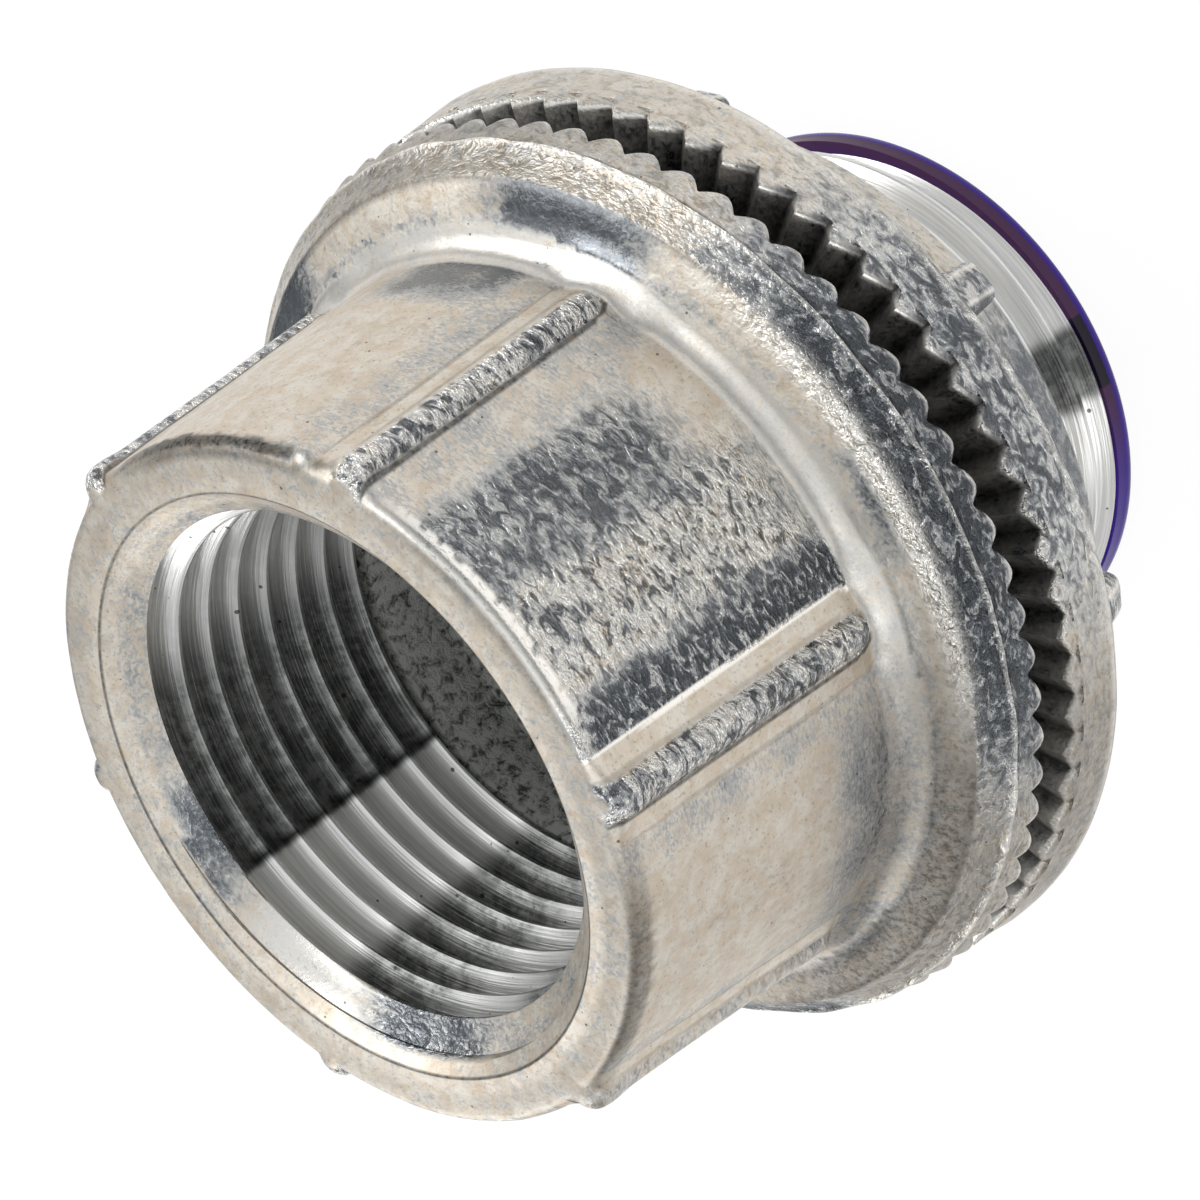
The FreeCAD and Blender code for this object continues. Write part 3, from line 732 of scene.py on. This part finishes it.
class Finish:
    """A material under way: short calls that add a node and return its output."""

    def __init__(self, name):
        self.material = bpy.data.materials.new(name)
        self.material.use_nodes = True
        self.tree = self.material.node_tree
        self.shader = self.tree.nodes["Principled BSDF"]
        self.place = self.add("ShaderNodeTexCoord").outputs["Object"]

    def add(self, kind, **settings):
        node = self.tree.nodes.new(kind)
        for key, value in settings.items():
            setattr(node, key, value)
        return node

    def link(self, source, socket):
        """Feeds a socket from another, or sets it to a number or a colour."""
        if isinstance(source, bpy.types.NodeSocket):
            self.tree.links.new(source, socket)
        else:
            socket.default_value = source

    def set(self, **settings):
        """Sets the shader's own numbers and colours, such as Roughness."""
        for key, value in settings.items():
            self.link(value, self.shader.inputs[key.replace("_", " ")])

    def stretched(self, x, y, z):
        """The place on the piece, with a pattern on it stretched."""
        node = self.add("ShaderNodeMapping")
        self.link(self.place, node.inputs["Vector"])
        node.inputs["Scale"].default_value = (x, y, z)
        return node.outputs["Vector"]

    def tones(self):
        """The four tones of the piece: slate (a painted dark reflection), crinkle (painted glints and
        shade), the bright edge (wear and painted highlight) and hollow (painted shade).
        """
        node = self.add("ShaderNodeAttribute", attribute_name="tones")
        split = self.add("ShaderNodeSeparateColor")
        self.link(node.outputs["Color"], split.inputs[0])
        return split.outputs[0], split.outputs[1], split.outputs[2], node.outputs["Alpha"]

    def noise(self, scale, detail=4.0, roughness=0.55, distortion=0.0, place=None):
        node = self.add("ShaderNodeTexNoise")
        self.link(place or self.place, node.inputs["Vector"])
        numbers = {"Scale": scale, "Detail": detail, "Roughness": roughness, "Distortion": distortion}
        for name, value in numbers.items():
            node.inputs[name].default_value = value
        return node.outputs["Fac"]

    def dots(self, scale, size):
        """Round dots, one to a cell, of very different sizes."""
        cells = self.add("ShaderNodeTexVoronoi")
        self.link(self.place, cells.inputs["Vector"])
        cells.inputs["Scale"].default_value = scale
        split = self.add("ShaderNodeSeparateColor")
        self.link(cells.outputs["Color"], split.inputs[0])
        reach = self.math("MULTIPLY", self.span(split.outputs[0], 0.55, 1.0), size)
        return self.math("LESS_THAN", cells.outputs["Distance"], reach)

    def math(self, operation, a, b=0.0):
        node = self.add("ShaderNodeMath", operation=operation)
        self.link(a, node.inputs[0])
        self.link(b, node.inputs[1])
        return node.outputs[0]

    def times(self, *factors):
        result = factors[0]
        for factor in factors[1:]:
            result = self.math("MULTIPLY", result, factor)
        return result

    def swing(self, pattern, amount):
        """A pattern from 0 to 1, brought to both sides of 0."""
        return self.times(self.math("SUBTRACT", pattern, 0.5), amount)

    def span(self, value, low, high, out_low=0.0, out_high=1.0):
        """A value from low to high, brought softly to another range."""
        node = self.add("ShaderNodeMapRange", interpolation_type="SMOOTHSTEP")
        self.link(value, node.inputs[0])
        for index, number in enumerate((low, high, out_low, out_high), start=1):
            self.link(number, node.inputs[index])
        return node.outputs[0]

    def blend(self, share, a, b):
        node = self.add("ShaderNodeMix", data_type="RGBA")
        self.link(share, node.inputs[0])
        self.link(a, node.inputs[6])
        self.link(b, node.inputs[7])
        return node.outputs[2]

    def bump(self, height, distance, strength=1.0, below=None):
        node = self.add("ShaderNodeBump")
        self.link(height, node.inputs["Height"])
        self.link(strength, node.inputs["Strength"])
        node.inputs["Distance"].default_value = distance
        if below:
            self.link(below, node.inputs["Normal"])
        return node.outputs["Normal"]

    def radial(self):
        """Radius and height of the point, as a flat position for rings round the axis."""
        split = self.add("ShaderNodeSeparateXYZ")
        self.link(self.place, split.inputs[0])
        squares = [self.math("POWER", split.outputs[axis], 2.0) for axis in (0, 1)]
        joined = self.add("ShaderNodeCombineXYZ")
        self.link(self.math("SQRT", self.math("ADD", *squares)), joined.inputs[0])
        self.link(split.outputs[2], joined.inputs[2])
        return joined.outputs[0]


# The casting: beige and pale are its own colours and tan its stains; the slate colour paints a dark
# reflection, the crest and white colours painted glints (the white also wear), the valley colour painted
# shade, and the near black serves pits, the seam line and painted shade
BEIGE = (0.69, 0.595, 0.48, 1)
TAN = (0.50, 0.415, 0.32, 1)
PALE = (0.77, 0.72, 0.64, 1)
SATIN = (0.555, 0.545, 0.525, 1)
MID_GREY = (0.52, 0.525, 0.53, 1)
SLATE_REFLECTION = (0.175, 0.19, 0.207, 1)
CREST = (0.66, 0.66, 0.65, 1)
NEAR_BLACK = (0.028, 0.028, 0.028, 1)
VALLEY_SHADE = (0.07, 0.075, 0.082, 1)
GLINT_AND_WEAR_WHITE = (0.97, 0.94, 0.88, 1)

# Cut threads: clean colours, and greyer ones for the rougher finish and painted shade
CUT_SHADE, CUT_SHINE = (0.78, 0.78, 0.765, 1), (0.98, 0.97, 0.94, 1)
DULL_SHADE_DARK, DULL_SHADE_PALE, DULL_SHADE_LINE = (0.1, 0.105, 0.1, 1), (0.29, 0.295, 0.285, 1), (0.42, 0.42, 0.41, 1)

# The cast bore, the throat (its near-black plum is painted shade), the ring, the floor and the sky
PIT, BORE_GREY = (0.07, 0.073, 0.066, 1), (0.58, 0.585, 0.55, 1)
PLUM, SHADED_PLUM = (0.075, 0.022, 0.085, 1), (0.006, 0.002, 0.014, 1)
VIOLET, BRIGHT_VIOLET = (0.03, 0.006, 0.24, 1), (0.06, 0.014, 0.40, 1)
SOOT, RUBBER_GREY = (0.012, 0.012, 0.012, 1), (0.03, 0.03, 0.03, 1)
FLOOR_WHITE = (0.88, 0.88, 0.88, 1)
SKY_WHITE = (0.96, 0.98, 1.0, 1)


def cast_zinc(name, darker=0.0):
    """Die-cast zinc: beige, with slate where a dark reflection is painted, crinkled with painted glints on
    its crests and painted shade in its valleys, bright on its edges from wear and painted highlight, and
    dark with painted shade in its hollows."""
    f = Finish(name)
    slate, crinkle, wear_and_glint, hollow = f.tones()
    cloud = f.noise(420, 5, 0.62)
    fine = f.noise(2600, 3, 0.7)
    skin = f.noise(900, 2.0, 0.5, 1.2, f.stretched(1, 1, 2.0))
    small = f.noise(2900, 2, 0.5, 0.8, f.stretched(1, 1, 2.2))
    # The slate share, where a dark reflection is painted, with ragged edges; a part share gives grey
    unrest = f.times(f.math("SUBTRACT", cloud, 0.5), f.span(slate, 0.0, 0.3, 0.5, 1.1))
    share = f.math("ADD", slate, unrest)
    share = f.math("ADD", share, f.swing(small, 1.3))
    dark = f.span(share, 0.26 - darker, 0.96 - darker)
    grey = f.span(share, 0.12 - darker, 0.42 - darker)
    colour = f.blend(f.span(f.noise(800, 4, 0.65, 0.5), 0.35, 0.65), BEIGE, PALE)
    stains = f.times(f.span(f.noise(260, 4, 0.7), 0.5, 0.72), f.span(fine, 0.3, 0.7), 0.8)
    colour = f.blend(stains, colour, TAN)
    colour = f.blend(f.times(f.span(f.noise(4500, 3, 0.6), 0.56, 0.7), 0.3), colour, NEAR_BLACK)
    colour = f.blend(grey, colour, f.blend(f.span(crinkle, 0.3, 0.8), SATIN, MID_GREY))
    colour = f.blend(dark, colour, SLATE_REFLECTION)

    # The crinkle: pale crests of painted glint over dark valleys of painted shade, with fewer crests where
    # the slate reflection is painted
    folds = f.math("ADD", f.times(skin, 0.66), f.times(small, 0.34))
    low = f.span(dark, 0, 1, 0.46, 0.525)
    crest = f.span(folds, low, f.math("ADD", low, 0.07))
    valley = f.span(folds, low, f.math("SUBTRACT", low, 0.07))
    colour = f.blend(f.times(valley, crinkle, 0.8), colour, VALLEY_SHADE)
    colour = f.blend(f.times(crest, crinkle, 0.8), colour, f.blend(dark, GLINT_AND_WEAR_WHITE, CREST))
    # Bright edges, partly wear and partly painted highlight
    colour = f.blend(f.times(wear_and_glint, f.span(small, 0.32, 0.44, 0.45, 1.0)), colour, GLINT_AND_WEAR_WHITE)
    colour = f.blend(f.times(f.dots(1100, 0.1), 0.7), colour, NEAR_BLACK)
    # Painted shade in hollows, creases and on shaded sides
    colour = f.blend(f.times(hollow, f.span(fine, 0.3, 0.6, 1.0, 0.75)), colour, NEAR_BLACK)
    rough = f.span(f.math("MAXIMUM", f.math("MAXIMUM", dark, wear_and_glint), crinkle), 0, 1, 0.52, 0.26)
    f.set(Base_Color=colour, Metallic=1.0, Roughness=rough)
    under = f.bump(folds, 0.7 * MM, f.span(crinkle, 0, 1, 0.03, 1.0))
    f.set(Normal=f.bump(fine, 0.03 * MM, 0.5, under))


def cut_metal(name):
    """Cut thread: bright where it is clean, partly as painted light, and greyer elsewhere, partly as painted
    shade, with fine tool lines.
    """
    f = Finish(name)
    slate, _, _, seam = f.tones()
    lines = f.noise(7000, 2, 0.5, place=f.radial())
    mottled = f.noise(900, 4, 0.7)
    # The share of painted shade, which also makes the finish rougher and more metallic
    painted_shade = f.span(f.math("ADD", slate, f.swing(mottled, 0.3)), 0.15, 0.75)
    colour = f.blend(f.span(lines, 0.35, 0.65), CUT_SHADE, CUT_SHINE)
    greyer = f.blend(f.span(mottled, 0.4, 0.62), DULL_SHADE_DARK, DULL_SHADE_PALE)
    greyer = f.blend(f.span(lines, 0.4, 0.6, 0.0, 0.35), greyer, DULL_SHADE_LINE)
    colour = f.blend(painted_shade, colour, greyer)
    colour = f.blend(seam, colour, NEAR_BLACK)
    colour = f.blend(f.times(f.dots(900, 0.14), 0.8), colour, NEAR_BLACK)
    f.set(Base_Color=colour, Metallic=f.span(painted_shade, 0, 1, 0.6, 0.9), Roughness=f.span(painted_shade, 0, 1, 0.3, 0.42))
    f.set(Normal=f.bump(lines, 0.04 * MM, 0.7))


def rough_cast(name):
    """The cast wall deep in the bore, never machined: dark and pitted."""
    f = Finish(name)
    pits = f.noise(1300, 5, 0.75, 0.4)
    colour = f.blend(f.span(pits, 0.34, 0.56), PIT, BORE_GREY)
    f.set(Base_Color=colour, Metallic=0.5, Roughness=0.6, Normal=f.bump(pits, 0.25 * MM))


def violet(name):
    """Moulded plastic, bright violet on the lip's edge, partly as painted highlight, plum on its side, and
    near black where painted shade is given.
    """
    f = Finish(name)
    edge, deep, _, _ = f.tones()
    cloudy = f.noise(260, 3, 0.6)
    # The side goes near black where painted shade is given
    side = f.blend(f.span(f.math("ADD", deep, f.swing(cloudy, 0.2)), 0.4, 0.5), PLUM, SHADED_PLUM)
    colour = f.blend(edge, side, f.blend(cloudy, VIOLET, BRIGHT_VIOLET))
    f.set(Base_Color=colour, Roughness=0.25, Specular_IOR_Level=0.25, Normal=f.bump(f.noise(600), 0.03 * MM))


def black_ring(name):
    """Moulded rubber, a little cloudy."""
    f = Finish(name)
    f.set(Base_Color=f.blend(f.noise(1200), SOOT, RUBBER_GREY), Roughness=0.6)


def white_floor():
    """A white floor. It glows to the eye and in reflections, and otherwise it is matt."""
    bpy.ops.mesh.primitive_plane_add(size=8)
    floor = bpy.context.object
    floor.name = "floor"
    f = Finish("white_floor")
    f.set(Base_Color=FLOOR_WHITE, Roughness=0.8)
    rays = f.add("ShaderNodeLightPath")
    seen = f.math("MAXIMUM", rays.outputs["Is Camera Ray"],
                  f.math("MAXIMUM", rays.outputs["Is Glossy Ray"], rays.outputs["Is Transmission Ray"]))
    mix = f.add("ShaderNodeMixShader")
    f.link(f.math("MULTIPLY", seen, 0.9), mix.inputs[0])
    f.link(f.shader.outputs[0], mix.inputs[1])
    glow = f.add("ShaderNodeEmission")
    glow.inputs["Strength"].default_value = 1.05
    f.link(glow.outputs[0], mix.inputs[2])
    f.link(mix.outputs[0], f.tree.nodes["Material Output"].inputs[0])
    floor.data.materials.append(f.material)


def lamps():
    """Three square lamps that face the hub, each with its place in metres, its width and its power."""
    aim = Vector((0, 0, 0.03))
    for name, stands, size, power in (("key", (0.30, -0.48, 0.55), 0.45, 2.4),
                                      ("fill", (-0.6, 0.3, 0.5), 0.5, 1.3),
                                      ("back", (0.45, 0.5, 0.35), 0.35, 1.2)):
        lamp = bpy.data.lights.new(name, "AREA")
        lamp.energy = power
        lamp.size = size
        rig = bpy.data.objects.new(name, lamp)
        rig.location = stands
        rig.rotation_euler = (aim - Vector(stands)).to_track_quat("-Z", "Y").to_euler()
        bpy.context.scene.collection.objects.link(rig)


def surround():
    """Dark along the horizon and pale above, so that metal has something to show. The camera
    itself sees only white."""
    world = bpy.data.worlds.new("surround")
    bpy.context.scene.world = world
    world.use_nodes = True
    nodes, links = world.node_tree.nodes, world.node_tree.links
    sky = nodes.new("ShaderNodeTexCoord")
    split = nodes.new("ShaderNodeSeparateXYZ")
    links.new(sky.outputs["Generated"], split.inputs[0])
    ramp = nodes.new("ShaderNodeMapRange")
    links.new(split.outputs[2], ramp.inputs[0])
    for index, number in enumerate((0.0, 0.75, 0.1, 0.8), start=1):
        ramp.inputs[index].default_value = number
    rays = nodes.new("ShaderNodeLightPath")
    shown = nodes.new("ShaderNodeMath")
    shown.operation = "MAXIMUM"
    links.new(ramp.outputs[0], shown.inputs[0])
    links.new(rays.outputs["Is Camera Ray"], shown.inputs[1])
    links.new(shown.outputs[0], nodes["Background"].inputs[1])
    nodes["Background"].inputs[0].default_value = SKY_WHITE


def camera():
    """The photograph's view: above the mouth's side, and rolled so that the axis runs up to the right."""
    right = Vector((-0.68938, 0.33162, -0.64404))
    down = Vector((0.0, 0.88906, 0.45779))
    forward = Vector((0.72440, 0.31559, -0.61290))
    stands = Vector((-159.66, -69.75, 162.58))
    lens = bpy.data.cameras.new("camera")
    lens.sensor_width, lens.lens = 36, 120
    lens.clip_start = 0.01
    eye = bpy.data.objects.new("camera", lens)
    facing = Matrix((right, -down, -forward)).transposed()
    eye.matrix_world = Matrix.Translation(stands * MM) @ facing.to_4x4()
    bpy.context.scene.collection.objects.link(eye)
    bpy.context.scene.camera = eye


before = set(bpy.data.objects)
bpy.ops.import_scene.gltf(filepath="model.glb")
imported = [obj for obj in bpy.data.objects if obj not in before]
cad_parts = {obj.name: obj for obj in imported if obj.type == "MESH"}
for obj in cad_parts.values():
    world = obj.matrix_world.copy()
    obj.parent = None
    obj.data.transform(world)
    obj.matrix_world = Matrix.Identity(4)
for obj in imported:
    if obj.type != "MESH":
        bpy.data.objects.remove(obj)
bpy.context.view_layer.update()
bpy.context.scene.view_settings.view_transform = "Standard"
cast_zinc("tumbled_zinc")
cast_zinc("darker_zinc", 0.04)
cut_metal("cut_thread")
rough_cast("rough_bore")
violet("violet_throat")
black_ring("ring_rubber")
hub_casting()
locknut_casting()
throat_lip()
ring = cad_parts["sealing_ring"]
ring.data.materials.clear()
ring.data.materials.append(bpy.data.materials["ring_rubber"])
white_floor()
lamps()
surround()
camera()
